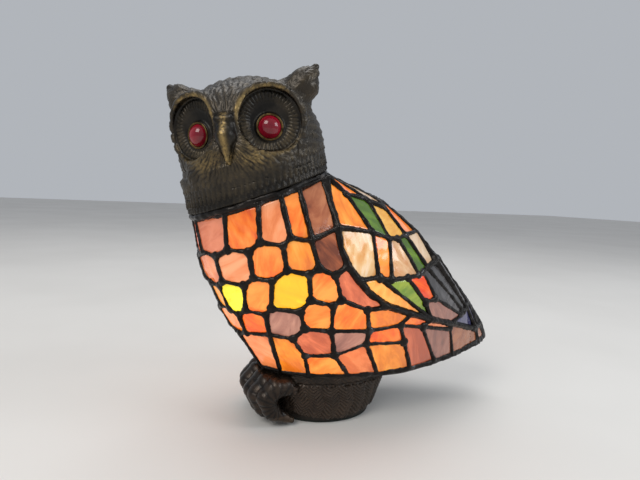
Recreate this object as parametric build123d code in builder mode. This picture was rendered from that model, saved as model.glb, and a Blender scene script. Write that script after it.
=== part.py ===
"""Leaded-glass owl table lamp: a cast base, a lift-off glass body with a cast head, and its electrics.

Millimetres, +Z up. The origin is the centre of the felt's underside. The owl's body heads along -Y and
its tail along +Y; its own left side is +X, and its head is turned to the left.
"""

import os
from math import asin, cos, degrees, pi, radians, sin

from build123d import *

# Glass body: an oval neck loop and a boat-shaped lower loop, with a bulging skin between them.
NECK_CENTRE = Vector(0, -55, 162)
NECK_R = 48.0
NECK_TILT = 21.0
LOOP_Z = 38.0
LOOP_FRONT = -50.0
LOOP_LENGTH = 196.0
LOOP_WIDTH = 96.0
LOOP_TAPER = 1.7
TAIL_BEND_Y = 48.0
TAIL_SLOPE = 9.0 / 98.0
BULGE_FRONT = 8.0
BULGE_BACK = 20.0

# Leadwork, all in from the middle of a came.
GLASS = 3.0
GLASS_GAP = 0.1
EDGE_GAP = 0.15
LIP = 0.65
INSET = 1.5
WING_INSET = 2.3
NECK_INSET = 3.2
RIM_INSET = 4.0
TAIL_INSET = 4.0
RIDGE = 0.8
WING_RIDGE = 1.9

# Base casting.
BASE_TOP_X = 35.0
BASE_TOP_Y = 48.0
BASE_LOW_X = 28.5
BASE_LOW_Y = 36.5
BASE_BOTTOM = 3.6
BASE_TOP = 36.4
BAND = 5.4
WALL = 3.5
DECK = 4.0
HOLE_X = 33.0
HOLE_Y = 45.0
PLATE = 1.5
SPIGOT = 1.5
TOES = [(8.2, 56.5), (17.0, 55.0), (25.4, 50.5)]
TOE_R = 6.4

SCREW_PLACES = [(x, y) for x in (-15.5, 15.5) for y in (-20.0, 20.0)]
FELT = 1.6
COVER = 2.0

# Electrics: socket and bulb stand on one threaded tube, and the cord leaves low on the right side.
TUBE_Y = -18.0
TUBE_R = 5.0
NUT = 4.0
SOCKET_Z = 41.6
SOCKET_TOP = 80.0
SLEEVE_Z = 60.0
CAP_R = 7.0
CORD_R = 2.5
CORD_Z = 2.8
CORD_HOLE_Z = 12.0
SWITCH_PLACE = (-82.0, 35.0)
SWITCH_LENGTH = 56.0
SWITCH_WIDTH = 22.0
SWITCH_FOOT = 0.3
SWITCH_SPLIT = 7.0
SWITCH_TOP = 14.3
SWITCH_WALL = 1.6
ROCKER_Z = 11.8
ROCKER_REST = 12.0
PLUG_X = -128.0
PLUG_FACE_Y = 24.0
PLUG_Z = 7.2
PIN_R = 2.0
PIN_LENGTH = 19.0
PIN_SPACING = 19.0

# Head, in its own frame: face to -Y, up +Z, then turned and tipped.
HEAD_PLACE = Location((0, -62, 199)) * Rotation(8.5, 0, 0) * Rotation(0, 0, 62)
SKULL_R = 49.0
SKULL_DROP = 6.0
CHIN_Z = -24.0
EYE_X = 23.5
EYE_Z = 5.0
EYE_YAW = 20.0
EYE_R = 7.0
EYE_SIDE = 1.2
EYE_TOP = 5.6
DISC_R = 20.0
DISC_DEPTH = 37.0

# The came junctions of the left side: degrees round from the breast, and share of the way down.
JUNCTIONS = {
    # neck line
    "n1": (12, 0), "n2": (50, 0), "n3": (77, 0), "n4": (94, 0), "n5": (110, 0), "n6": (160, 0), "n7": (180, 0),
    # wing edge, from the shoulder round to the tail
    "e0": (138, 0), "e1": (121, 0.09), "e2": (107, 0.2), "e3": (100, 0.28), "e4": (96.5, 0.36),
    "e5": (96, 0.44), "e6": (97, 0.515), "e7": (101, 0.6), "e8": (109, 0.675), "e9": (118, 0.745),
    "e10": (130, 0.82), "e11": (153, 0.92), "e12": (180, 0.94),
    # under the first breast row
    "m0": (0, 0.215), "m1": (15, 0.185), "m2": (29, 0.21), "m3": (41, 0.18), "m4": (54, 0.205),
    "m5": (63, 0.17), "m6": (74, 0.205), "m7": (80, 0.18), "m8": (89, 0.215),
    # under the second
    "o0": (0, 0.345), "o1": (9, 0.375), "o2": (20, 0.385), "o3": (26, 0.35), "o4": (41, 0.375),
    "o5": (49, 0.335), "o6": (58, 0.36), "o7": (68, 0.32), "o8": (77, 0.355), "o9": (83, 0.34),
    "o10": (88, 0.385),
    # under the third
    "p0": (0, 0.55), "p1": (9, 0.52), "p2": (19, 0.535), "p3": (26, 0.56), "p4": (33, 0.525),
    "p5": (44, 0.55), "p6": (49, 0.51), "p7": (62, 0.54), "p8": (70, 0.485), "p9": (78, 0.53),
    "p10": (83, 0.51), "p11": (91, 0.585),
    # under the fourth
    "q0": (0, 0.68), "qa": (13, 0.715), "q1": (21, 0.695), "q2": (39, 0.68), "q3": (50, 0.71),
    "q4": (59, 0.645), "q5": (70, 0.67), "q6": (86, 0.7), "q7": (101, 0.715), "s1": (111, 0.765),
    "s2": (127, 0.845),
    # above the short bottom row
    "t1": (50, 0.83), "t2": (64, 0.83), "t3": (81, 0.775), "t4": (98, 0.815),
    # lower rim
    "r1": (9, 1), "r2": (27, 1), "r3": (44, 1), "r4": (64, 1), "r5": (77, 1), "r6": (93, 1),
    "r7": (107, 1), "r8": (119, 1), "r9": (148, 1), "r10": (180, 1),
    # wing feathers
    "wp": (123, 0.275), "wq": (137, 0.1), "wr": (129, 0.33), "wt": (147, 0.17), "ww": (153, 0.24),
    "wk": (168, 0.22), "wu": (143, 0.36), "wx": (163, 0.4), "ws": (135, 0.35), "g1": (180, 0.2),
    "g2": (180, 0.4), "g3": (180, 0.56), "g4": (180, 0.8), "wa": (106, 0.455), "wb": (111, 0.49),
    "wc": (120, 0.51), "wd": (128, 0.53), "wf": (132, 0.525), "wh": (138, 0.52), "wi": (150, 0.53),
    "wj": (164, 0.55), "wl": (121, 0.655), "wm": (129, 0.665), "z1": (143, 0.81), "z2": (148.5, 0.81),
    "z3": (156, 0.805), "z4": (167, 0.8),
}

# Every pane of the left side: where it is, its glass, and its junctions.
PANES = [
    ("breast", "salmon", "n1 n2 m3 m2 m1"), ("breast", "orange", "n2 n3 m5 m4 m3"),
    ("breast", "peach", "n3 n4 m7 m6 m5"), ("breast", "orange", "n4 n5 m8 m7"),
    ("breast", "brown", "n5 e0 e1 e2 m8"), ("breast", "peach", "m0 m1 m2 o3 o2 o1 o0"),
    ("breast", "peach", "m2 m3 m4 o5 o4 o3"), ("breast", "orange", "m4 m5 m6 o7 o6 o5"),
    ("breast", "honey", "m6 m7 m8 o9 o8 o7"), ("breast", "brown", "m8 e2 e3 e4 o10 o9"),
    ("breast", "honey", "o1 o2 p2 p1"), ("breast", "yellow", "o2 o3 o4 p4 p3 p2"),
    ("breast", "orange", "o4 o5 o6 p6 p5 p4"), ("breast", "yellow", "o6 o7 o8 p8 p7 p6"),
    ("breast", "orange", "o8 o9 o10 p10 p9 p8"), ("breast", "salmon", "o10 e4 e5 e6 e7 p11 p10"),
    ("breast", "orange", "p0 p1 p2 p3 q1 qa q0"), ("breast", "orange", "p3 p4 p5 q2 q1"),
    ("breast", "mauve", "p5 p6 p7 q4 q3 q2"), ("breast", "orange", "p7 p8 p9 q5 q4"),
    ("breast", "orange", "p9 p10 p11 q6 q5"), ("breast", "honey", "p11 e7 e8 q7 q6"),
    ("breast", "orange", "q7 e8 e9 s1"), ("breast", "peach", "s1 e9 e10 s2"),
    ("breast", "peach", "qa q1 q2 r2 r1"), ("breast", "honey", "q2 q3 t1 r3 r2"),
    ("breast", "salmon", "q3 q4 q5 t2 t1"), ("breast", "mauve", "q5 q6 t3 t2"),
    ("breast", "orange", "q6 q7 t4 t3"), ("breast", "salmon", "q7 s1 r7 r6 t4"),
    ("breast", "mauve", "s1 s2 r8 r7"), ("breast", "brown", "s2 e10 e11 r9 r8"),
    ("breast", "brown", "e11 e12 r10 r9"), ("breast", "orange", "t1 t2 r4 r3"),
    ("breast", "peach", "t2 t3 r5 r4"), ("breast", "honey", "t3 t4 r6 r5"),
    ("wing", "orange", "e0 n6 wt wq"), ("wing", "cream", "n6 n7 g1 wk ww wt"),
    ("wing", "honey", "e0 wq wp e2 e1"), ("wing", "green", "wq wt wr wp"),
    ("wing", "yellow", "wt ww wu ws wr"), ("wing", "orange", "ww wk wx wu"),
    ("wing", "honey", "wk g1 g2 wx"), ("wing", "opal", "e2 wp wa e5 e4 e3"),
    ("wing", "red", "wp wr wb wa"), ("wing", "cream", "wr ws wd wc wb"),
    ("wing", "green", "ws wu wh wf wd"), ("wing", "cream", "wu wx wi wh"),
    ("wing", "green", "wx g2 g3 wj wi"), ("wing", "honey", "e5 wa e9 e8 e7 e6"),
    ("wing", "green", "wa wb wc wl e9"), ("wing", "red", "wc wd wf wm wl"),
    ("tail", "smoke", "wf wh z2 z1 wm"), ("tail", "smoke", "wh wi z3 z2"),
    ("tail", "smoke", "wi wj z4 z3"), ("tail", "smoke", "wj g3 g4 z4"),
    ("tail", "mauve", "wl wm z1 e10 e9"), ("tail", "blue", "z1 z2 z3 e11 e10"),
    ("tail", "blue", "z3 z4 g4 e12 e11"),
]
# The panes that cross the middle of the breast: the left half of each outline, closed by its mirror.
MIDDLE_PANES = [
    ("breast", "orange", "n1 m1 m0"),
    ("breast", "honey", "o0 o1 p1 p0"),
    ("breast", "honey", "q0 qa r1"),
]


def neck_point(turn):
    """A point on the neck loop, in the neck's tilted plane."""
    tilt = radians(NECK_TILT)
    out = Vector(sin(turn), -cos(turn) * cos(tilt), -cos(turn) * sin(tilt))
    return NECK_CENTRE + out * NECK_R


def sheet_z(y):
    """Height of the body's lower edge: level over the base, then rising along the tail."""
    return LOOP_Z + max(0.0, y - TAIL_BEND_Y) * TAIL_SLOPE


def loop_point(turn):
    """A point on the boat-shaped lower loop."""
    y = LOOP_FRONT + LOOP_LENGTH * sin(turn / 2) ** 2
    x = LOOP_WIDTH * sin(turn / 2) * abs(cos(turn / 2)) ** LOOP_TAPER
    return Vector(x, y, sheet_z(y))


def skin(degrees, down):
    """A point of the glass body's middle surface."""
    turn = radians(degrees)
    step = 0.001
    top = neck_point(turn)
    low = loop_point(turn)
    along = neck_point(turn + step) + loop_point(turn + step) - neck_point(turn - step) - loop_point(turn - step)
    out = (low - top).cross(along).normalized()
    share = sin(turn / 2) ** 2
    bulge = (BULGE_FRONT + (BULGE_BACK - BULGE_FRONT) * share) * sin(pi * down**0.85)
    return top + (low - top) * down + out * bulge


def outward(degrees, down):
    """The way out of the body at a junction: in the neck's plane, level at the rim, or square to the skin."""
    round_the_body = skin(degrees + 0.5, down) - skin(degrees - 0.5, down)
    if down == 0:
        out = neck_point(radians(degrees)) - NECK_CENTRE
    elif down == 1:
        out = round_the_body.cross(Vector(0, 0, 1))
    else:
        out = (skin(degrees, down + 0.005) - skin(degrees, down - 0.005)).cross(round_the_body)
    if degrees % 180 == 0:
        out = Vector(0, out.Y, out.Z)
    return out.normalized()


def all_panes():
    """Every pane as (area, glass, list of (degrees, down)), both sides and the middle."""
    found = []
    for area, glass, names in PANES:
        corners = [JUNCTIONS[name] for name in names.split()]
        left, right = ("wing_left", "wing_right") if area == "wing" else (area, area)
        found.append((left, glass, corners))
        found.append((right, glass, [(-turn, down) for turn, down in corners]))
    for area, glass, names in MIDDLE_PANES:
        half = [JUNCTIONS[name] for name in names.split()]
        other = [(-turn, down) for turn, down in reversed(half) if turn != 0]
        found.append((area, glass, half + other))
    return found


def pane_frame(corners):
    """A pane's own plane: its corners in counter-clockwise order, its centre and its outward normal."""
    points = [skin(*corner) for corner in corners]
    centre = sum(points, Vector(0, 0, 0)) / len(points)
    normal = Vector(0, 0, 0)
    for here, there in zip(points, points[1:] + points[:1]):
        normal += (here - centre).cross(there - centre)
    normal = normal.normalized()
    if normal.dot(outward(*corners[0])) < 0:
        return pane_frame(corners[::-1])
    return corners, points, centre, normal


def edge_inset(here, there, wing_edge):
    """How far the glass opening keeps from the middle of the came on one side of a pane."""
    if here[1] == there[1] == 1:
        return RIM_INSET
    if here[1] == there[1] == 0:
        return NECK_INSET
    if abs(here[0]) == abs(there[0]) == 180:
        return TAIL_INSET if here[1] + there[1] > 1.5 else WING_INSET
    if junction_key(here) in wing_edge and junction_key(there) in wing_edge:
        return WING_INSET
    return INSET


def shrink(flat, normal, insets):
    """A flat outline with every side moved inwards by its own amount."""
    moved = []
    count = len(flat)
    for i in range(count):
        before = (flat[i] - flat[i - 1]).normalized()
        after = (flat[(i + 1) % count] - flat[i]).normalized()
        in_before = normal.cross(before)
        in_after = normal.cross(after)
        a = insets[i - 1]
        b = insets[i]
        lean = in_before.dot(in_after)
        if lean > 0.97:
            step = (in_before + in_after) * (max(a, b) / (1 + lean))
        else:
            step = (in_before * (a - b * lean) + in_after * (b - a * lean)) / (1 - lean * lean)
        moved.append(flat[i] + step)
    return moved


def junction_key(corner):
    """One key for a junction, the same whichever side of the ridge names it."""
    turn = 180 if abs(corner[0]) == 180 else corner[0]
    return (turn, corner[1])


def leadwork():
    """The came lattice as one closed solid, and every pane as (area, glass, solid)."""
    wing_edge = set()
    for number in range(13):
        turn, down = JUNCTIONS[f"e{number}"]
        wing_edge.update([junction_key((turn, down)), junction_key((-turn, down))])
    framed = [(area, glass) + pane_frame(corners) for area, glass, corners in all_panes()]

    # the came stands proud of every pane that meets at a junction, outside and inside
    ridges = {}
    half = GLASS / 2 + GLASS_GAP
    for _, _, corners, points, centre, normal in framed:
        for corner, point in zip(corners, points):
            key = junction_key(corner)
            out = outward(*corner)
            rise = (centre - point).dot(normal) / out.dot(normal)
            cover = half / out.dot(normal)
            ridge = WING_RIDGE if key in wing_edge else RIDGE
            high, low = ridges.get(key, (-99.0, 99.0))
            ridges[key] = (max(high, rise + cover + ridge), min(low, rise - cover - RIDGE))

    uses = {}
    for _, _, corners, _, _, _ in framed:
        for here, there in zip(corners, corners[1:] + corners[:1]):
            side = frozenset([junction_key(here), junction_key(there)])
            uses[side] = uses.get(side, 0) + 1

    def ridge_point(corner, level):
        place = skin(*corner) + outward(*corner) * ridges[junction_key(corner)][level]
        x = 0 if corner[0] % 180 == 0 else place.X
        z = sheet_z(place.Y) if corner[1] == 1 else place.Z
        return Vector(x, place.Y, z)

    faces = []
    panes = []

    def face(*points):
        faces.append(Face(Wire.make_polygon(points, close=True)))

    for area, glass, corners, points, centre, normal in framed:
        flat = [point - normal * (point - centre).dot(normal) for point in points]
        insets = [
            edge_inset(here, there, wing_edge) for here, there in zip(corners, corners[1:] + corners[:1])
        ]
        lip = shrink(flat, normal, insets)
        channel = shrink(flat, normal, [inset - LIP - EDGE_GAP for inset in insets])
        outline = shrink(flat, normal, [inset - LIP for inset in insets])
        up = normal * half
        for i in range(len(corners)):
            j = (i + 1) % len(corners)
            top_i, top_j = ridge_point(corners[i], 0), ridge_point(corners[j], 0)
            low_i, low_j = ridge_point(corners[i], 1), ridge_point(corners[j], 1)
            face(top_i, top_j, lip[j] + up)
            face(top_i, lip[j] + up, lip[i] + up)
            face(lip[i] + up, lip[j] + up, channel[j] + up, channel[i] + up)
            face(channel[i] + up, channel[j] + up, channel[j] - up, channel[i] - up)
            face(channel[i] - up, channel[j] - up, lip[j] - up, lip[i] - up)
            face(lip[i] - up, lip[j] - up, low_j)
            face(lip[i] - up, low_j, low_i)
            if uses[frozenset([junction_key(corners[i]), junction_key(corners[j])])] == 1:
                face(top_i, low_i, low_j)
                face(top_i, low_j, top_j)
        bottom = Face(Wire.make_polygon([point - normal * (GLASS / 2) for point in outline], close=True))
        panes.append((area, glass, Solid.extrude(bottom, normal * GLASS)))
    return Solid(Shell(faces)), panes


def save(part, label):
    """Write one node's STEP file."""
    part.label = label
    export_step(part, f"parts/{label}.step")


def make_glass_body():
    """The came lattice and one node for each area's panes of one glass."""
    lattice, panes = leadwork()
    with BuildPart() as came:
        add(lattice)
    save(came.part, "came")
    for area, glass in sorted({(area, glass) for area, glass, _ in panes}):
        with BuildPart() as group:
            add([solid for where, what, solid in panes if (where, what) == (area, glass)])
        save(group.part, f"glass_{area}_{glass}")


def make_underside_plate():
    """Sheet that closes the body's underside, bent up along the tail, with the oval hole for the base."""
    low = LOOP_Z - 0.1 - PLATE
    tip_y = LOOP_FRONT + LOOP_LENGTH
    rise = (tip_y - TAIL_BEND_Y) * TAIL_SLOPE
    half_loop = [loop_point(radians(turn)) for turn in range(0, 181, 15)]
    edge = [Vector(point.X, point.Y, 0) for point in half_loop]
    mirrored = [Vector(-point.X, point.Y, 0) for point in reversed(edge[1:-1])]
    with BuildPart() as underside_plate:
        with BuildSketch(Plane.YZ):
            with BuildLine():
                Polyline(
                    (LOOP_FRONT, low), (TAIL_BEND_Y, low), (tip_y, low + rise),
                    (tip_y, low + rise + PLATE), (TAIL_BEND_Y, low + PLATE), (LOOP_FRONT, low + PLATE),
                    close=True,
                )
            make_face()
        extrude(amount=60, both=True)
        with BuildSketch(Plane.XY):
            with BuildLine():
                Spline(edge + mirrored, periodic=True)
            make_face()
            Ellipse(HOLE_X, HOLE_Y, mode=Mode.SUBTRACT)
        extrude(amount=80, mode=Mode.INTERSECT)
    save(underside_plate.part, "underside_plate")


def neck_plane(lift):
    """The neck's tilted plane, lifted along its own normal."""
    tilt = radians(NECK_TILT)
    normal = Vector(0, -sin(tilt), cos(tilt))
    return Plane(origin=NECK_CENTRE + normal * lift, x_dir=(1, 0, 0), z_dir=normal)


def make_neck_ring():
    """Flat ring soldered round the top of the leadwork."""
    with BuildPart() as neck_ring:
        with BuildSketch(neck_plane(0.1)):
            Circle(NECK_R + 3.6)
            Circle(NECK_R - 4.5, mode=Mode.SUBTRACT)
        extrude(amount=2.0)
    save(neck_ring.part, "neck_ring")


def eye_plane(side, depth):
    """A plane square to one eye's axis, a given distance out from the skull's centre line."""
    yaw = radians(EYE_YAW)
    out = Vector(side * sin(yaw), -cos(yaw), 0)
    middle = Vector(side * (EYE_X - DISC_DEPTH * sin(yaw)), 0, EYE_Z)
    return Plane(origin=middle + out * depth, x_dir=(cos(yaw), side * sin(yaw), 0), z_dir=out)


def limb(*stations):
    """A tapered limb through (point, radius) stations, with a knuckle at each, fused into the part being built."""
    for (start, start_r), (end, end_r) in zip(stations, stations[1:]):
        start = Vector(*start)
        end = Vector(*end)
        with Locations(Plane(origin=start, z_dir=end - start).location):
            Cone(start_r, end_r, (end - start).length, align=(Align.CENTER, Align.CENTER, Align.MIN))
    for point, radius in stations:
        with Locations(point):
            Sphere(radius + 0.4)


def make_head():
    """Hollow cast head: round skull and skirt, horned brows, beak, face discs and eye seats."""
    ring_top = neck_plane(2.2)
    seat = Plane(HEAD_PLACE.inverse() * ring_top.location)
    with BuildPart() as head:
        with Locations((0, 0, -SKULL_DROP)):
            Sphere(SKULL_R)
        with BuildSketch(Plane.XY.offset(CHIN_Z)):
            Rectangle(120, 120)
        extrude(amount=-40, mode=Mode.SUBTRACT)
        with BuildSketch(seat):
            Circle(NECK_R + 2.6)
        with BuildSketch(Plane.XY.offset(CHIN_Z)):
            Circle(45.6)
        loft(ruled=True)
        for side in (-1, 1):
            with BuildSketch(eye_plane(side, DISC_DEPTH)):
                Circle(DISC_R)
            extrude(amount=15, mode=Mode.SUBTRACT)
        with Locations((0, 0, -SKULL_DROP)):
            Sphere(SKULL_R - WALL, mode=Mode.SUBTRACT)
        with BuildSketch(Plane.XY.offset(CHIN_Z + 1)):
            Circle(41.8)
        with BuildSketch(seat.offset(-0.5)):
            Circle(NECK_R - 1.6)
        loft(ruled=True, mode=Mode.SUBTRACT)
        for side in (-1, 1):
            with BuildSketch(eye_plane(side, DISC_DEPTH - 5)):
                Circle(DISC_R + 2.5)
            extrude(amount=7.5)
            with BuildSketch(eye_plane(side, DISC_DEPTH)):
                Circle(DISC_R)
            extrude(amount=10, mode=Mode.SUBTRACT)
            with BuildSketch(eye_plane(side, DISC_DEPTH - 3)):
                Circle(EYE_R + 0.1)
            extrude(amount=3, mode=Mode.SUBTRACT)
        for side in (-1, 1):
            limb(((side * 33, 3, 22), 13), ((side * 48, -2, 39), 2.5))
            limb(((side * 5, -46, 14), 4), ((side * 24, -41, 28), 5.5), ((side * 43, -14, 36), 4))
        limb(((0, -42, 13), 7.5), ((0, -52, -15), 1.6))
    save(HEAD_PLACE * head.part, "head_casting")


def make_eyes():
    """Two glass domes in the head's seats, each with its raised brass ring."""
    dome = EYE_TOP - EYE_SIDE
    dome_r = (EYE_R**2 + dome**2) / (2 * dome)
    sweep_angle = degrees(asin(EYE_R / dome_r))
    for side, name in ((1, "left"), (-1, "right")):
        with BuildPart() as eye:
            with BuildSketch(Plane.XZ):
                with BuildLine():
                    CenterArc((0, EYE_TOP - dome_r), dome_r, 90 - sweep_angle, sweep_angle)
                    Polyline((0, EYE_TOP), (0, -2.9), (EYE_R, -2.9), (EYE_R, EYE_SIDE))
                make_face()
            revolve(axis=Axis.Z)
        place = HEAD_PLACE * eye_plane(side, DISC_DEPTH).location
        save(place * eye.part, f"eye_{name}")
        with BuildPart() as bezel:
            with BuildSketch(Plane.XY.offset(0.05)):
                Circle(EYE_R + 1.5)
                Circle(EYE_R + 0.1, mode=Mode.SUBTRACT)
            extrude(amount=1.6)
            fillet(bezel.edges().group_by(Axis.Z)[-1], 0.5)
        save(place * bezel.part, f"eye_ring_{name}")


def make_base():
    """Hollow cast stump with its oval rim band, feet at the front, deck, spigot and screw bosses."""
    band_z = BASE_TOP - BAND
    with BuildPart() as base:
        with BuildSketch(Plane.XY.offset(BASE_BOTTOM)):
            Ellipse(BASE_LOW_X, BASE_LOW_Y)
        with BuildSketch(Plane.XY.offset(band_z)):
            Ellipse(BASE_TOP_X - 1, BASE_TOP_Y - 1.5)
        loft(ruled=True)
        with BuildSketch(Plane.XY.offset(band_z)):
            Ellipse(BASE_TOP_X, BASE_TOP_Y)
        extrude(amount=BAND)
        for side in (-1, 1):
            for x, reach in TOES:
                with BuildLine():
                    Line((side * x, -36, 29.5), (side * x, 10 - reach, 29.5))
                    ThreePointArc((side * x, 10 - reach, 29.5), (side * x, -reach, 19.5), (side * x, 10 - reach, 9.5))
                with BuildSketch(Plane(origin=(side * x, -36, 29.5), z_dir=(0, -1, 0))):
                    Circle(TOE_R)
                sweep()
                with Locations((side * x, 1 - reach, 27)):
                    Sphere(TOE_R + 1)
                limb(((side * x, 9 - reach, 9.8), TOE_R - 0.4), ((side * x, 18 - reach, 4), 2.4))
        with BuildSketch(Plane.XY.offset(BASE_BOTTOM)):
            Ellipse(BASE_LOW_X - WALL, BASE_LOW_Y - WALL)
        with BuildSketch(Plane.XY.offset(BASE_TOP - DECK)):
            Ellipse(BASE_TOP_X - 1 - WALL, BASE_TOP_Y - 1.5 - WALL)
        loft(ruled=True, mode=Mode.SUBTRACT)
        with BuildSketch(Plane.XY.offset(BASE_TOP)):
            Ellipse(HOLE_X - 0.4, HOLE_Y - 0.4)
            Ellipse(HOLE_X - 3.0, HOLE_Y - 3.0, mode=Mode.SUBTRACT)
        extrude(amount=SPIGOT)
        with BuildSketch(Plane.XY.offset(BASE_BOTTOM)):
            with Locations(*SCREW_PLACES):
                Circle(3.4)
        extrude(amount=BASE_TOP - DECK + 1 - BASE_BOTTOM)
        with BuildSketch(Plane.XY.offset(BASE_BOTTOM)):
            with Locations(*SCREW_PLACES):
                Circle(1.3)
        extrude(amount=12, mode=Mode.SUBTRACT)
        with BuildSketch(Plane.XY.offset(BASE_TOP - DECK - 1)):
            with Locations((0, TUBE_Y)):
                Circle(TUBE_R + 0.1)
        extrude(amount=DECK + 2, mode=Mode.SUBTRACT)
        with BuildSketch(Plane.YZ.offset(-BASE_LOW_X - 6)):
            with Locations((0, 12)):
                Circle(4.6)
        extrude(amount=12, mode=Mode.SUBTRACT)
    save(base.part, "base_casting")


def disc(low, high, radius, inner=0.0):
    """A round plate or tube on the threaded tube's axis, added to the part being built."""
    with BuildSketch(Plane.XY.offset(low)) as ring:
        with Locations((0, TUBE_Y)):
            Circle(radius)
            if inner:
                Circle(inner, mode=Mode.SUBTRACT)
    extrude(ring.sketch, amount=high - low)


def bore(low, high, radius):
    """A round hole on the threaded tube's axis, cut from the part being built."""
    with BuildSketch(Plane.XY.offset(low)) as hole:
        with Locations((0, TUBE_Y)):
            Circle(radius)
    extrude(hole.sketch, amount=high - low, mode=Mode.SUBTRACT)


def make_bottom():
    """Steel cover plate with its screws, and the felt under it with a hole round each screw head."""
    with BuildPart() as cover:
        with BuildSketch(Plane.XY.offset(FELT)):
            Ellipse(BASE_LOW_X - 0.5, BASE_LOW_Y - 0.5)
            with Locations(*SCREW_PLACES):
                Circle(1.7, mode=Mode.SUBTRACT)
        extrude(amount=COVER)
    save(cover.part, "cover_plate")
    with BuildPart() as felt:
        with BuildSketch():
            Ellipse(BASE_LOW_X - 1.0, BASE_LOW_Y - 1.0)
            with Locations(*SCREW_PLACES):
                Circle(3.6, mode=Mode.SUBTRACT)
        extrude(amount=FELT)
    save(felt.part, "felt_pad")
    with BuildPart() as screws:
        with Locations(*[(x, y, FELT) for x, y in SCREW_PLACES]):
            Cylinder(2.8, 1.2, align=(Align.CENTER, Align.CENTER, Align.MAX))
            Cylinder(1.25, 11, align=(Align.CENTER, Align.CENTER, Align.MIN))
            with Locations((0, 0, -1.2)):
                Box(4.2, 0.8, 1.2, mode=Mode.SUBTRACT)
    save(screws.part, "cover_screws")


def make_tube():
    """Threaded tube through the deck, and its two hexagon nuts."""
    with BuildPart() as tube:
        disc(BASE_TOP - DECK - 7, SOCKET_Z + 5, TUBE_R, 3.6)
    save(tube.part, "threaded_tube")
    with BuildPart() as nuts:
        for low in (BASE_TOP - DECK - 0.1 - NUT, BASE_TOP + 0.1):
            with BuildSketch(Plane.XY.offset(low)):
                with Locations((0, TUBE_Y)):
                    RegularPolygon(7.0, 6, major_radius=False)
                    Circle(TUBE_R + 0.05, mode=Mode.SUBTRACT)
            extrude(amount=NUT)
    save(nuts.part, "tube_nuts")


def make_socket():
    """Lamp socket: outer shell, inner core, screw sleeve and centre contact."""
    with BuildPart() as shell:
        disc(SOCKET_Z, SOCKET_TOP, 13.4)
        disc(SOCKET_Z + 26, SOCKET_Z + 29, 15.2)
        bore(SOCKET_Z + 5.4, SOCKET_TOP, 11.4)
        bore(SOCKET_Z, SOCKET_Z + 6, TUBE_R + 0.05)
    save(shell.part, "socket_shell")
    with BuildPart() as core:
        disc(SLEEVE_Z - 12, SLEEVE_Z + 16, 11.3)
        bore(SLEEVE_Z, SLEEVE_Z + 17, 8.0)
        with BuildSketch(Plane.XY.offset(SLEEVE_Z - 12)):
            with Locations((-5, TUBE_Y), (5, TUBE_Y)):
                Circle(1.5)
        extrude(amount=12, mode=Mode.SUBTRACT)
    save(core.part, "socket_core")
    with BuildPart() as sleeve:
        disc(SLEEVE_Z + 0.1, SLEEVE_Z + 17, 7.9, CAP_R + 0.1)
    save(sleeve.part, "socket_sleeve")
    with BuildPart() as contact:
        with Locations((0, TUBE_Y, SLEEVE_Z + 0.05)):
            Box(9, 3.6, 0.6, align=(Align.CENTER, Align.CENTER, Align.MIN))
    save(contact.part, "socket_contact")


def make_bulb():
    """Small screw-cap bulb: glass, stem, filament on its leads, cap, insulator and tip contact."""
    cap_low = SLEEVE_Z + 3.6
    with BuildPart() as glass:
        with BuildSketch(Plane.XZ.offset(-TUBE_Y)):
            with BuildLine():
                Line((0, 117), (0, 116.2))
                RadiusArc((0, 116.2), (13.2, 103), 13.2)
                Line((13.2, 103), (13.2, 98))
                RadiusArc((13.2, 98), (5.6, 83), 40)
                Polyline((5.6, 83), (5.6, 77), (6.4, 77), (6.4, 83))
                RadiusArc((6.4, 83), (14, 98), -40)
                Line((14, 98), (14, 103))
                RadiusArc((14, 103), (0, 117), -14)
            make_face()
        revolve(axis=Axis((0, TUBE_Y, 0), (0, 0, 1)))
    save(glass.part, "bulb_glass")
    with BuildPart() as stem:
        disc(cap_low + 6, 90, 2.2)
    save(stem.part, "bulb_stem")
    with BuildPart() as filament:
        with BuildLine(Plane.XZ.offset(-TUBE_Y)):
            Polyline((-1.2, 90.1), (-6, 98), (-3, 99.4), (0, 98.2), (3, 99.4), (6, 98), (1.2, 90.1))
        with BuildSketch(Plane(origin=(-1.2, TUBE_Y, 90.1), z_dir=(-4.8, 0, 7.9))):
            Circle(0.3)
        sweep(transition=Transition.ROUND)
    save(filament.part, "bulb_filament")
    with BuildPart() as cap:
        disc(cap_low, SOCKET_TOP + 2, CAP_R, 6.6)
    save(cap.part, "bulb_cap")
    with BuildPart() as insulator:
        with Locations((0, TUBE_Y, cap_low - 1.8)):
            Cone(3.4, 6.5, 2.6, align=(Align.CENTER, Align.CENTER, Align.MIN))
    save(insulator.part, "bulb_insulator")
    with BuildPart() as tip:
        disc(cap_low - 2.6, cap_low - 1.8, 2.4)
    save(tip.part, "bulb_tip")


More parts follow.
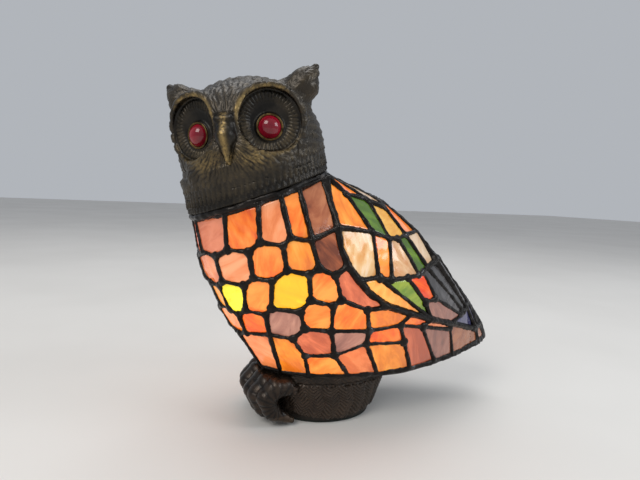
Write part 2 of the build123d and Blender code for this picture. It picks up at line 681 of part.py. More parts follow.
def make_cord():
    """Round cord in two lengths, lamp to switch and switch to plug, folded beside the base."""
    switch_x, switch_y = SWITCH_PLACE
    half = SWITCH_LENGTH / 2
    near, far = switch_y + half, switch_y - half
    with BuildPart() as lamp_cord:
        with BuildLine():
            FilletPolyline(
                (0, TUBE_Y, 46.5), (0, TUBE_Y, CORD_HOLE_Z), (-13, 0, CORD_HOLE_Z), (-40, 0, CORD_HOLE_Z),
                (-50, 0, CORD_Z), (-62, 0, CORD_Z), (-62, near + 18, CORD_Z), (switch_x, near + 18, CORD_Z),
                (switch_x, near + 9, CORD_Z), (switch_x, near + 3, SWITCH_SPLIT),
                (switch_x, near - 6, SWITCH_SPLIT),
                radius=3.0,
            )
        with BuildSketch(Plane.XY.offset(46.5)):
            with Locations((0, TUBE_Y)):
                Circle(CORD_R)
        sweep()
    save(lamp_cord.part, "cord_lamp")
    with BuildPart() as plug_cord:
        with BuildLine():
            FilletPolyline(
                (switch_x, far + 6, SWITCH_SPLIT), (switch_x, far - 3, SWITCH_SPLIT),
                (switch_x, far - 9, CORD_Z), (switch_x, far - 18, CORD_Z), (switch_x - 20, far - 18, CORD_Z),
                (switch_x - 20, near + 14, CORD_Z), (PLUG_X, near + 14, CORD_Z), (PLUG_X, near + 6, CORD_Z),
                (PLUG_X, near, PLUG_Z), (PLUG_X, near - 10, PLUG_Z),
                radius=3.0,
            )
        with BuildSketch(Plane(origin=(switch_x, far + 6, SWITCH_SPLIT), z_dir=(0, -1, 0))):
            Circle(CORD_R)
        sweep()
    save(plug_cord.part, "cord_plug")
    with BuildPart() as grommet:
        with BuildSketch(Plane.YZ.offset(-34)):
            with Locations((0, CORD_HOLE_Z)):
                Circle(6.2)
        extrude(amount=2)
        with BuildSketch(Plane.YZ.offset(-32)):
            with Locations((0, CORD_HOLE_Z)):
                Circle(4.5)
        extrude(amount=7)
        with BuildSketch(Plane.YZ.offset(-34)):
            with Locations((0, CORD_HOLE_Z)):
                Circle(CORD_R + 0.1)
        extrude(amount=9, mode=Mode.SUBTRACT)
    save(grommet.part, "cord_grommet")


def switch_outline(height, margin):
    """The switch's round-cornered outline at a height, drawn in by a margin."""
    with BuildSketch(Plane.XY.offset(height)) as outline:
        with Locations(SWITCH_PLACE):
            RectangleRounded(SWITCH_WIDTH - 2 * margin, SWITCH_LENGTH - 2 * margin, 6 - margin)
    return outline.sketch


def switch_cord_holes():
    """The round cord entries at both ends of the switch, cut from the half being built."""
    x, y = SWITCH_PLACE
    with Locations(Location((x, y, SWITCH_SPLIT), (90, 0, 0))):
        Cylinder(CORD_R + 0.1, SWITCH_LENGTH + 2, mode=Mode.SUBTRACT)


def make_switch():
    """Inline rocker switch: two case halves, screws, contacts, rocker and its pin."""
    x, y = SWITCH_PLACE
    screw_places = [(x + 6.8, y + 20), (x - 6.8, y - 20)]
    with BuildPart() as lower:
        extrude(switch_outline(SWITCH_FOOT, 0), amount=SWITCH_SPLIT - SWITCH_FOOT)
        fillet(lower.edges().group_by(Axis.Z)[0], 1.2)
        extrude(switch_outline(SWITCH_FOOT + SWITCH_WALL, SWITCH_WALL), amount=10, mode=Mode.SUBTRACT)
        with BuildSketch(Plane.XY.offset(SWITCH_FOOT + 1)):
            with Locations(*screw_places):
                Circle(3.0)
        extrude(amount=SWITCH_SPLIT - SWITCH_FOOT - 1)
        with BuildSketch(Plane.XY.offset(SWITCH_FOOT)):
            with Locations(*screw_places):
                Circle(2.3)
        extrude(amount=1.8, mode=Mode.SUBTRACT)
        with BuildSketch(Plane.XY.offset(SWITCH_FOOT)):
            with Locations(*screw_places):
                Circle(1.3)
        extrude(amount=10, mode=Mode.SUBTRACT)
        switch_cord_holes()
    save(lower.part, "switch_lower")
    with BuildPart() as upper:
        extrude(switch_outline(SWITCH_SPLIT, 0), amount=SWITCH_TOP - SWITCH_SPLIT)
        fillet(upper.edges().group_by(Axis.Z)[-1], 1.2)
        hollow = SWITCH_TOP - SWITCH_SPLIT - SWITCH_WALL
        extrude(switch_outline(SWITCH_SPLIT, SWITCH_WALL), amount=hollow, mode=Mode.SUBTRACT)
        with BuildSketch(Plane.XY.offset(SWITCH_TOP - 1)):
            with Locations(*screw_places):
                Circle(3.0)
        extrude(amount=SWITCH_SPLIT - SWITCH_TOP + 1)
        with BuildSketch(Plane.XY.offset(SWITCH_SPLIT)):
            with Locations(*screw_places):
                Circle(1.25)
        extrude(amount=5, mode=Mode.SUBTRACT)
        with Locations((x - 7.5, y, ROCKER_Z), (x + 7.5, y, ROCKER_Z)):
            Box(2, 5, 5)
        with BuildSketch(Plane.XY.offset(SWITCH_TOP)):
            with Locations(SWITCH_PLACE):
                Rectangle(12.4, 18.2)
        extrude(amount=-3, mode=Mode.SUBTRACT)
        with Locations(Location((x, y, ROCKER_Z), (0, 90, 0))):
            Cylinder(1.03, 17.4, mode=Mode.SUBTRACT)
        switch_cord_holes()
    save(upper.part, "switch_upper")
    with BuildPart() as screws:
        with Locations(*[(sx, sy, SWITCH_FOOT) for sx, sy in screw_places]):
            Cylinder(2.2, 1.6, align=(Align.CENTER, Align.CENTER, Align.MIN))
            Cylinder(1.2, 10, align=(Align.CENTER, Align.CENTER, Align.MIN))
    save(screws.part, "switch_screws")
    with BuildPart() as contacts:
        with Locations((x, y - 12, 2.4), (x, y + 12, 2.4)):
            Box(5, 9, 0.8)
    save(contacts.part, "switch_contacts")
    with BuildPart() as pin:
        with Locations(Location((x, y, ROCKER_Z), (0, 90, 0))):
            Cylinder(1.0, 17.2)
    save(pin.part, "rocker_pin")
    with BuildPart() as rocker:
        with BuildSketch(Plane(origin=(x - 5.9, y, ROCKER_Z), x_dir=(0, 1, 0), z_dir=(1, 0, 0))) as side:
            Polygon((-8.3, -1.2), (8.3, -1.2), (7.6, 3.6), (0, 1.9), (-7.6, 3.6), rotation=ROCKER_REST, align=None)
            Circle(1.05, mode=Mode.SUBTRACT)
        extrude(amount=11.8)
    save(rocker.part, "rocker")


def make_plug():
    """Flat two-pin plug body on the cord's end, and its round pins."""
    with BuildPart() as body:
        with BuildSketch(Plane.XY.offset(PLUG_Z - 6.85)):
            with BuildLine():
                Polyline(
                    (PLUG_X - 17.6, PLUG_FACE_Y), (PLUG_X + 17.6, PLUG_FACE_Y),
                    (PLUG_X + 17.6, PLUG_FACE_Y + 12), (PLUG_X + 5.5, PLUG_FACE_Y + 28),
                    (PLUG_X + 4.5, PLUG_FACE_Y + 36), (PLUG_X - 4.5, PLUG_FACE_Y + 36),
                    (PLUG_X - 5.5, PLUG_FACE_Y + 28), (PLUG_X - 17.6, PLUG_FACE_Y + 12),
                    close=True,
                )
            make_face()
        extrude(amount=13.7)
        fillet(body.edges().filter_by(Axis.Z), 2.0)
        fillet(body.edges().group_by(Axis.Z)[0] + body.edges().group_by(Axis.Z)[-1], 1.5)
        with BuildSketch(Plane.XZ.offset(-PLUG_FACE_Y - 40)):
            with Locations((PLUG_X, PLUG_Z)):
                Circle(CORD_R + 0.05)
        extrude(amount=15, mode=Mode.SUBTRACT)
        with BuildSketch(Plane.XZ.offset(-PLUG_FACE_Y)):
            with Locations((PLUG_X - PIN_SPACING / 2, PLUG_Z), (PLUG_X + PIN_SPACING / 2, PLUG_Z)):
                Circle(PIN_R + 0.02)
        extrude(amount=-8, mode=Mode.SUBTRACT)
    save(body.part, "plug_body")
    with BuildPart() as pins:
        with BuildSketch(Plane.XZ.offset(PIN_LENGTH - PLUG_FACE_Y)):
            with Locations((PLUG_X - PIN_SPACING / 2, PLUG_Z), (PLUG_X + PIN_SPACING / 2, PLUG_Z)):
                Circle(PIN_R)
        extrude(amount=-PIN_LENGTH - 7.8)
        chamfer(pins.faces().sort_by(Axis.Y)[:2].edges(), 0.6)
    save(pins.part, "plug_pins")


os.makedirs("parts", exist_ok=True)
make_glass_body()
make_underside_plate()
make_neck_ring()
make_head()
make_eyes()
make_base()
make_bottom()
make_tube()
make_socket()
make_bulb()
make_cord()
make_switch()
make_plug()
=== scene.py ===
import math

import bmesh
import bpy
import numpy as np
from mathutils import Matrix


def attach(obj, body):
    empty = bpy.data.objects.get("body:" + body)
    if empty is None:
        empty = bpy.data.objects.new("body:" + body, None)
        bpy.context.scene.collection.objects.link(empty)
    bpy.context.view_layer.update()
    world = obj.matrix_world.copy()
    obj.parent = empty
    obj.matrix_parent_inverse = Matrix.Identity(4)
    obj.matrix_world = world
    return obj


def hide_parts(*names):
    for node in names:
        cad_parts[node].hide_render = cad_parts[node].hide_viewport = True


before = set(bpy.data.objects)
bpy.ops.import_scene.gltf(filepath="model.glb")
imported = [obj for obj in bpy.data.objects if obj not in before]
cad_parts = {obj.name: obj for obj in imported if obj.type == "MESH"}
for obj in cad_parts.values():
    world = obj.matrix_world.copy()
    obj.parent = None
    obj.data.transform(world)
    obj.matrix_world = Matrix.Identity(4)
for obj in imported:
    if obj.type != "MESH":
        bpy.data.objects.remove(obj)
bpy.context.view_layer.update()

import openvdb as vdb
from mathutils import Euler, Matrix, Vector

MM = 0.001
BULB = Vector((0.0, -0.018, 0.095))
BODY_MIDDLE = Vector((0, 0.02, 0.1))


# ---------------------------------------------------------------- material helpers

def add_node(tree, kind, inputs=None, **settings):
    """One shader node; an input is given a value or another node's output."""
    node = tree.nodes.new("ShaderNode" + kind)
    for key, value in settings.items():
        setattr(node, key, value)
    for key, value in (inputs or {}).items():
        if isinstance(value, bpy.types.NodeSocket):
            tree.links.new(value, node.inputs[key])
        else:
            node.inputs[key].default_value = value
    return node


def new_material(name):
    """An empty material: its tree and its Principled shader."""
    material = bpy.data.materials.new(name)
    material.use_nodes = True
    tree = material.node_tree
    return material, tree, tree.nodes["Principled BSDF"]


def noise(tree, scale, detail=4.0, where=None, distortion=0.0, roughness=0.55):
    """Noise in object space, or along a given vector."""
    place = where if where is not None else add_node(tree, "TexCoord").outputs["Object"]
    inputs = {"Vector": place, "Scale": scale, "Detail": detail}
    inputs.update({"Distortion": distortion, "Roughness": roughness})
    return add_node(tree, "TexNoise", inputs).outputs["Fac"]


def ramp(tree, value, *stops):
    """A colour ramp through (position, colour) stops."""
    node = add_node(tree, "ValToRGB", {"Fac": value})
    elements = node.color_ramp.elements
    while len(elements) < len(stops):
        elements.new(0.5)
    for element, (position, colour) in zip(elements, stops):
        element.position = position
        element.color = (*colour, 1.0)
    return node.outputs["Color"]


def grey(tree, value, low, high, out_low=0.0, out_high=1.0):
    """A value moved from one range to another and clamped."""
    inputs = {"Value": value, "From Min": low, "From Max": high, "To Min": out_low, "To Max": out_high}
    return add_node(tree, "MapRange", inputs).outputs["Result"]


def math_node(tree, operation, a, b):
    """A sum or product of two values."""
    return add_node(tree, "Math", {0: a, 1: b}, operation=operation).outputs[0]


def mix(tree, factor, a, b):
    """Two colours mixed."""
    node = add_node(tree, "Mix", data_type="RGBA")
    for socket, value in ((node.inputs[0], factor), (node.inputs[6], a), (node.inputs[7], b)):
        if isinstance(value, bpy.types.NodeSocket):
            tree.links.new(value, socket)
        elif isinstance(value, (int, float)):
            socket.default_value = value
        else:
            socket.default_value = (*value, 1.0)
    return node.outputs[2]


def attribute(tree, name):
    """The node that reads a mesh's own values."""
    return add_node(tree, "Attribute", attribute_name=name)


def bump(tree, shader, height, distance, strength):
    """Fine surface grain on a shader."""
    node = add_node(tree, "Bump", {"Height": height, "Distance": distance, "Strength": strength})
    tree.links.new(node.outputs["Normal"], shader.inputs["Normal"])


# ---------------------------------------------------------------- materials

def bronze_material(name, dark, body, brass, rough):
    """Patinated bronze: dark in the hollows and, on the head, where painted shade is laid into the relief
    value; its own brown on the faces, brass where it is worn.
    """
    material, tree, shader = new_material(name)
    relief = attribute(tree, "relief").outputs["Fac"]
    worn = attribute(tree, "worn").outputs["Fac"]
    patches = noise(tree, 70, 5)
    fine = noise(tree, 520, 3)
    # the relief value darkens the colour: patina in the hollows, and on the head also painted shadow in
    # the eye dishes and towards the collar
    colour = mix(tree, grey(tree, relief, 0.1, 0.75), dark, body)
    colour = mix(tree, grey(tree, patches, 0.45, 0.75, 0.0, 0.55), colour, [c * 1.7 for c in body])
    uneven = grey(tree, math_node(tree, "ADD", patches, fine), 0.75, 1.15)
    wear = math_node(tree, "MULTIPLY", worn, uneven)
    colour = mix(tree, wear, colour, brass)
    tree.links.new(colour, shader.inputs["Base Color"])
    tree.links.new(grey(tree, fine, 0.3, 0.7, rough - 0.09, rough + 0.12), shader.inputs["Roughness"])
    tree.links.new(grey(tree, wear, 0.0, 1.0, 0.55, 0.9), shader.inputs["Metallic"])
    bump(tree, shader, fine, 0.0004, 0.5)
    return material


def lead_material():
    """Blackened solder over lead: dark with bluish grey glints where it is rubbed."""
    material, tree, shader = new_material("came_dark")
    patches = noise(tree, 120, 5)
    fine = noise(tree, 900, 3)
    black = (0.006, 0.005, 0.0045)
    dark = (0.018, 0.015, 0.013)
    rubbed = (0.075, 0.075, 0.08)
    colour = ramp(tree, patches, (0.35, black), (0.6, dark), (0.78, rubbed))
    tree.links.new(colour, shader.inputs["Base Color"])
    shader.inputs["Metallic"].default_value = 0.75
    tree.links.new(grey(tree, patches, 0.3, 0.75, 0.42, 0.24), shader.inputs["Roughness"])
    bump(tree, shader, fine, 0.0003, 0.4)
    return material


def art_glass(name, tones, glow):
    """Opalescent sheet glass: three tones drawn out in streaks, glowing with painted light from the bulb
    inside and dimmer at each pane's rim, with a glossy skin.
    """
    material, tree, shader = new_material(name)
    flow = attribute(tree, "flow").outputs["Vector"]
    stretched = add_node(tree, "Mapping", {"Vector": flow, "Scale": (1.0, 0.32, 1.0)}).outputs["Vector"]
    wisps = noise(tree, 75, 5, stretched, 1.4, 0.6)
    clouds = noise(tree, 22, 3, flow, 0.6)
    tint = attribute(tree, "tint").outputs["Fac"]
    place = wisps
    for part, share in ((clouds, 0.8), (tint, 0.34)):
        shift = math_node(tree, "MULTIPLY", math_node(tree, "SUBTRACT", part, 0.5), share)
        place = math_node(tree, "ADD", place, shift)
    colour = ramp(tree, place, (0.28, tones[0]), (0.5, tones[1]), (0.72, tones[2]))
    # painted light: the glass emits its own colour, strongest near the bulb and weaker towards each
    # pane's rim
    lit = attribute(tree, "lit").outputs["Fac"]
    rim = attribute(tree, "rim").outputs["Fac"]
    strength = math_node(tree, "MULTIPLY", lit, grey(tree, wisps, 0.25, 0.75, 0.8 * glow, 1.15 * glow))
    strength = math_node(tree, "MULTIPLY", strength, grey(tree, rim, 0.0, 1.0, 0.64, 1.06))
    tree.links.new(mix(tree, 0.72, colour, (0.02, 0.015, 0.012)), shader.inputs["Base Color"])
    tree.links.new(colour, shader.inputs["Emission Color"])
    tree.links.new(strength, shader.inputs["Emission Strength"])
    shader.inputs["Roughness"].default_value = 0.16
    shader.inputs["Specular IOR Level"].default_value = 0.55
    shader.inputs["Coat Weight"].default_value = 0.5
    shader.inputs["Coat Roughness"].default_value = 0.06
    bump(tree, shader, noise(tree, 160, 2, stretched), 0.0006, 0.35)
    return material


def ruby_material():
    """Deep red glass with painted shade by view angle: a darker heart where it faces the camera, darkest
    at its grazing edges.
    """
    material, tree, shader = new_material("ruby")
    facing = add_node(tree, "LayerWeight", {"Blend": 0.45}).outputs["Facing"]
    cloud = noise(tree, 160, 3)
    heart = (0.13, 0.002, 0.010)
    red = (0.26, 0.004, 0.018)
    edge = (0.05, 0.001, 0.004)
    # painted shade: the red darkens by view angle, in the heart and most at the grazing edges
    colour = ramp(tree, facing, (0.0, heart), (0.55, red), (1.0, edge))
    colour = mix(tree, grey(tree, cloud, 0.4, 0.7, 0.0, 0.35), colour, (0.32, 0.01, 0.02))
    tree.links.new(colour, shader.inputs["Base Color"])
    shader.inputs["Roughness"].default_value = 0.08
    shader.inputs["Specular IOR Level"].default_value = 0.45
    shader.inputs["Coat Weight"].default_value = 0.15
    shader.inputs["Coat Roughness"].default_value = 0.03
    return material


def plain_material(name, low, high, metallic, roughness, scale, depth=0.0002):
    """A hard surface with a mottled colour and fine grain."""
    material, tree, shader = new_material(name)
    patches = noise(tree, scale, 5)
    tree.links.new(ramp(tree, patches, (0.35, low), (0.68, high)), shader.inputs["Base Color"])
    sheen = grey(tree, patches, 0.3, 0.7, roughness - 0.06, roughness + 0.1)
    tree.links.new(sheen, shader.inputs["Roughness"])
    shader.inputs["Metallic"].default_value = metallic
    bump(tree, shader, noise(tree, scale * 7, 2), depth, 0.4)
    return material


def lamp_glass_material():
    """The bulb's frosted glass, glowing warm white."""
    material, tree, shader = new_material("bulb_glass")
    haze = noise(tree, 60, 3)
    skin = ramp(tree, haze, (0.3, (1.0, 0.72, 0.42)), (0.7, (1.0, 0.84, 0.6)))
    glow = ramp(tree, haze, (0.3, (1.0, 0.66, 0.34)), (0.7, (1.0, 0.8, 0.52)))
    tree.links.new(skin, shader.inputs["Base Color"])
    tree.links.new(glow, shader.inputs["Emission Color"])
    shader.inputs["Emission Strength"].default_value = 5.0
    shader.inputs["Roughness"].default_value = 0.25
    return material


# ---------------------------------------------------------------- mesh helpers

def put(node, material):
    """Gives a CAD node its material."""
    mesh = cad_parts[node].data
    mesh.materials.clear()
    mesh.materials.append(material)


def new_object(name, vertices, faces, material):
    """A smooth mesh object from arrays in metres."""
    mesh = bpy.data.meshes.new(name)
    mesh.from_pydata(vertices.tolist(), [], faces)
    mesh.update()
    mesh.polygons.foreach_set("use_smooth", [True] * len(mesh.polygons))
    mesh.materials.append(material)
    obj = bpy.data.objects.new(name, mesh)
    bpy.context.scene.collection.objects.link(obj)
    return obj


def welded(node):
    """An editable copy of a CAD node's mesh, its doubled points joined."""
    work = bmesh.new()
    work.from_mesh(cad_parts[node].data)
    bmesh.ops.remove_doubles(work, verts=work.verts, dist=1e-6)
    return work


def object_from(work, name, material):
    """A new object from an edited mesh."""
    mesh = bpy.data.meshes.new(name)
    work.to_mesh(mesh)
    work.free()
    mesh.materials.clear()
    mesh.materials.append(material)
    obj = bpy.data.objects.new(name, mesh)
    bpy.context.scene.collection.objects.link(obj)
    return obj


def stand_in(obj, body, node):
    """Puts an object in a CAD node's place, moving with the same body."""
    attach(obj, body)
    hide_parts(node)


def set_float(obj, name, values):
    """Stores one value for each point of a mesh."""
    data = obj.data.attributes.new(name, "FLOAT", "POINT")
    data.data.foreach_set("value", np.asarray(values, np.float32))


def set_vector(obj, name, values):
    """Stores one vector for each point of a mesh."""
    data = obj.data.attributes.new(name, "FLOAT_VECTOR", "POINT")
    data.data.foreach_set("vector", np.asarray(values, np.float32).ravel())


def vertex_normals(points, faces):
    """Area-weighted normals of a quad mesh."""
    corners = points[faces]
    across = corners[:, 2] - corners[:, 0]
    along = corners[:, 3] - corners[:, 1]
    flat = np.cross(across, along)
    normals = np.zeros_like(points)
    for i in range(4):
        np.add.at(normals, faces[:, i], flat)
    return normals / np.maximum(np.linalg.norm(normals, axis=1, keepdims=True), 1e-9)


# ---------------------------------------------------------------- solid fields, in millimetres

def grid(low, high, step):
    """Coordinates of a box of samples."""
    axes = [np.arange(a, b, step, dtype=np.float32) for a, b in zip(low, high)]
    return np.meshgrid(*axes, indexing="ij")


def smooth_join(a, b, width):
    """Union of two fields with a rounded valley between them."""
    h = np.clip(0.5 + 0.5 * (b - a) / width, 0, 1)
    return b * (1 - h) + a * h - width * h * (1 - h)


def smooth_cut(a, b, width):
    """Field a with b taken away, the edge rounded."""
    return -smooth_join(-a, b, width)


def ball(p, centre, radius):
    """Distance to a sphere."""
    return np.sqrt(sum((c - o) ** 2 for c, o in zip(p, centre))) - radius


def taper(p, a, b, ra, rb):
    """Distance to a limb whose radius runs from ra at a to rb at b."""
    a = np.array(a, np.float32)
    b = np.array(b, np.float32)
    d = b - a
    t = sum((c - o) * k for c, o, k in zip(p, a, d)) / float(d @ d)
    t = np.clip(t, 0, 1)
    return np.sqrt(sum((c - o - k * t) ** 2 for c, o, k in zip(p, a, d))) - (ra + (rb - ra) * t)


def mesh_field(field, low, step):
    """The surface of a field, as points in millimetres and outward quads."""
    volume = vdb.FloatGrid()
    reach = 4.0
    volume.background = reach
    volume.copyFromArray(np.ascontiguousarray(np.clip(field, -reach, reach), np.float32), tolerance=0.0)
    points, _, quads = volume.convertToPolygons(0.0, 0.0)
    points = np.asarray(points, np.float64) * step + np.array(low)
    quads = np.asarray(quads, np.int64)
    normals = vertex_normals(points, quads)
    middle = points[quads[:, 0]].mean(0)
    if ((points - middle) * normals).sum() < 0:
        quads = quads[:, ::-1]
    return points, quads


def waves(x):
    """A rounded ridge wave from 0 to 1, sharp in its valleys."""
    return np.sqrt(np.abs(np.cos(x)))


def hash01(a, b):
    """A steady pseudo-random number from two whole numbers."""
    return np.modf(np.abs(np.sin(a * 12.9898 + b * 78.233) * 43758.5453))[0]


def plumage(around, down, round_length, length, width):
    """Overlapping feathers in staggered rows, their height from 0 to 1.2.

    Around is in turns and the rest is in millimetres; round_length gives the girth at a distance down.
    """
    best = np.zeros_like(down)
    for back in (0, 1):
        row = np.floor(down / length) - back
        reach = down / length - row
        middle = (row + 0.5) * length
        count = np.maximum(np.round(round_length(middle) / width), 5)
        place = around * count + 0.5 * np.mod(row, 2) + 0.25 * hash01(row, 3.0)
        which = np.floor(place)
        across = place - which - 0.5
        limit = 1.55 - 1.9 * across**2 if back else 1.0
        limit = limit + 0.12 * (hash01(row, which) - 0.5)
        inside = reach < limit
        barbs = waves(reach * length * 1.5 + np.abs(across) * width * 1.6)
        rib = np.exp(-(across * width / 0.35) ** 2)
        height = 0.25 + 0.62 * reach / 1.5 - 0.9 * across**2 + 0.20 * barbs + 0.14 * rib
        best = np.where(inside, np.maximum(best, height), best)
    return np.clip(best, 0, 1.2)


# ---------------------------------------------------------------- head

HEAD_AT = (0, -62, 199)
HEAD_NOD = math.radians(8.5)
HEAD_TURN = math.radians(62)
HEAD_PLACE = (
    Matrix.Translation(HEAD_AT)
    @ Euler((HEAD_NOD, 0, 0)).to_matrix().to_4x4()
    @ Euler((0, 0, HEAD_TURN)).to_matrix().to_4x4()
)
NECK_AT = Vector((0, -55, 162))
NECK_TILT = math.radians(21)
NECK_R = 50.2
NECK_LIFT = 2.4
SKULL = (0, 0, -6)
SKULL_R = 49.5
SIDES = (-1, 1)
EYE_SPLAY = math.radians(20)
EYE_OUT = [Vector((side * math.sin(EYE_SPLAY), -math.cos(EYE_SPLAY), 0)) for side in SIDES]
EYE_AT = [Vector((side * 23.5, -37 * math.cos(EYE_SPLAY), 5)) for side in SIDES]
EYE_SEAT_R = 7.15
FEATHER_R = 49
DISH_R = 19.6
DISH_LIFT = 3.5


def head_seat():
    """Point and upward normal of the plane that the head ends on, in the head's own frame."""
    normal = Vector((0, -math.sin(NECK_TILT), math.cos(NECK_TILT)))
    point = NECK_AT + normal * NECK_LIFT
    back = HEAD_PLACE.inverted()
    return back @ point, (back.to_3x3() @ normal).normalized()


def egg(p, centre, radii):
    """Roughly the distance to an ellipsoid."""
    near = np.sqrt(sum(((c - o) / r) ** 2 for c, o, r in zip(p, centre, radii)))
    steep = np.sqrt(sum(((c - o) / r**2) ** 2 for c, o, r in zip(p, centre, radii)))
    return near * (near - 1) / np.maximum(steep, 1e-6)


def from_eye(x, y, z, at, out, lift):
    """Depth along an eye's axis and radius from it, the axis lifted by a few millimetres."""
    dx = x - at.x
    dy = y - at.y
    dz = z - at.z - lift
    depth = dx * out.x + dy * out.y + dz * out.z
    return depth, np.sqrt(np.maximum(dx**2 + dy**2 + dz**2 - depth**2, 0))


def head_field(p):
    """The cast head: skull, collar, overhanging forehead, ears, dished eye sockets, cheeks and beak."""
    x, y, z = p
    field = ball((x, y, z * 1.02), SKULL, SKULL_R)
    point, normal = head_seat()
    above = (x - point.x) * normal.x + (y - point.y) * normal.y + (z - point.z) * normal.z
    from_axis = np.sqrt(sum(((c - o) - above * n) ** 2 for c, o, n in zip(p, point, normal)))
    collar = np.maximum(from_axis - (NECK_R - 0.14 * above), above - 22)
    field = smooth_join(field, collar, 9)
    field = smooth_join(field, egg(p, (0, -9, 13.5), (42, 41, 25.5)), 5)
    for side in SIDES:
        ear = smooth_join(
            taper(p, (side * 27, -7, 19), (side * 43, -8, 33), 16, 9),
            taper(p, (side * 43, -8, 33), (side * 51.5, -7, 42.5), 9, 2.0), 3,
        )
        field = smooth_join(field, ear, 5)
        cheek = taper(p, (side * 8, -45, -8), (side * 24, -36, -17), 5.5, 7.0)
        field = smooth_join(field, cheek, 6)
    for side, out, at in zip(SIDES, EYE_OUT, EYE_AT):
        depth, radius = from_eye(x, y, z, at, out, DISH_LIFT)
        field = smooth_join(field, np.maximum(radius - 22, np.abs(depth + 5) - 4.5), 3)
        raised = np.clip((z - at.z + 2) / np.maximum(radius, 8) - 0.25 * side * (x - at.x) / 20, 0, 1)
        lip = np.sqrt((radius - 21.2) ** 2 + (depth - 5.0 * raised + 2) ** 2) - 2.2
        field = smooth_join(field, lip, 3.5)
        dish = np.maximum(radius - DISH_R, -(depth + 1.2 - 0.007 * radius**2))
        field = smooth_cut(field, dish, 1.6)
        depth, radius = from_eye(x, y, z, at, out, 0)
        seat = np.sqrt((radius - 8.0) ** 2 + (depth + 0.4) ** 2) - 1.5
        field = smooth_join(field, seat, 1.2)
        field = np.maximum(field, -np.maximum(radius - EYE_SEAT_R, -(depth + 3.1)))
    beak = taper((x * 0.95, y, z), (0, -45.5, 11), (0, -51.5, 1), 6.6, 5.8)
    beak = smooth_join(beak, taper((x, y, z), (0, -51.5, 1), (0, -53.5, -14), 5.8, 1.2), 2.5)
    nostrils = taper(p, (-4.5, -51, 11.5), (4.5, -51, 11.5), 2.3, 2.3)
    field = smooth_join(field, smooth_join(beak, nostrils, 1.5), 1.6)
    field = np.maximum(field, -above)
    hollow = smooth_join(ball(p, SKULL, 44.6), np.maximum(from_axis - 46.2, above - 20), 4)
    for out, at in zip(EYE_OUT, EYE_AT):
        depth, radius = from_eye(x, y, z, at, out, 2)
        hollow = np.maximum(hollow, -np.maximum(radius - 26, -(depth + 6.5)))
    return np.maximum(field, -hollow)


def head_feathers(points, above, angle):
    """Long feathers on the crown and back, strokes on the face, short feathers round the neck."""
    x, y, _ = points.T
    offset = points - np.array(SKULL)
    turn = np.arctan2(offset[:, 0], offset @ np.array((0, 0.12, 1.0))) / (2 * math.pi)
    down = angle * FEATHER_R

    def girth(length):
        return 2 * math.pi * FEATHER_R * np.sin(np.clip(length / FEATHER_R, 0.2, 2.9))

    long_feathers = plumage(turn, down, girth, 15.0, 5.4)
    strokes = waves(turn * 190 + 0.9 * np.sin(down * 0.33) + 0.5 * np.sin(down * 0.9 + turn * 40))
    strokes = 0.25 + 0.55 * strokes + 0.15 * np.sin(down * 0.5 + 9 * np.sin(turn * 31))
    round_neck = np.arctan2(x, -y) / (2 * math.pi)
    short_feathers = plumage(round_neck, 40 - above, lambda length: 0 * length + 300, 10.0, 3.8)
    front = np.clip((46 - down) / 8, 0, 1)
    low = np.clip((19 - above) / 8, 0, 1)
    feathers = long_feathers * (1 - front) + strokes * front
    feathers = feathers * (1 - low) + short_feathers * low
    return feathers, strokes, short_feathers


def eye_relief(points, side, out, at, height, worn, shade):
    """Lays an eye's radial ticks, a painted shadow in the upper part of its dish and its worn edges over
    the head's relief.
    """
    depth, radius = from_eye(*points.T, at, out, DISH_LIFT)
    near = np.clip((21.0 - radius) / 1.2, 0, 1) * np.clip((depth + 12) / 4, 0, 1) * (depth < 6)
    rel = points - np.array(at) - np.array((0, 0, DISH_LIFT))
    sideways = np.array((-out.y, out.x, 0))
    about = np.arctan2(rel @ sideways, rel[:, 2])
    ticks = waves(about * 22) * np.clip((radius - 11.5) / 3, 0, 1)
    ticks = ticks * np.clip((DISH_R - radius) / 2, 0, 1)
    height = height * (1 - near) + near * (1.3 * ticks)
    worn = worn * (1 - near) + near * 0.12 * ticks
    # painted shadow: the dish is darkened towards its top, under the overhanging brow
    shade = np.maximum(shade, near * np.clip((rel[:, 2] + 2) / 10, 0, 1))
    top = np.clip(np.cos(about + side * 0.45) * 2.2 - 0.5, 0, 1)
    edge = np.exp(-(((radius - 20.9) / 1.0) ** 2)) * (depth > 0.5) * top
    height = height * (1 - edge) + edge * 0.7
    worn = np.maximum(worn, 0.95 * edge)
    under = np.exp(-(((radius - 20.8) / 1.2) ** 2)) * (depth > -8)
    under = under * np.clip(-np.cos(about) * 2 - 0.6, 0, 1)
    return height, np.maximum(worn, 0.45 * under), shade


def beak_relief(points, height, worn):
    """Lays the beak's growth lines and its worn ridge over the head's relief."""
    x, y, z = points.T
    half = np.clip(2.0 + (z + 15.5) * 0.32, 0, 7.5)
    beak = np.clip((half - np.abs(x)) / 1.0, 0, 1) * (y < -48.5) * (z < 15) * (z > -16)
    height = height * (1 - beak) + beak * 0.25 * waves(z * 0.5 + np.abs(x) * 0.4)
    worn = np.maximum(worn * (1 - beak), 0.9 * beak * np.exp(-((x / 2.0) ** 2)))
    return height, worn


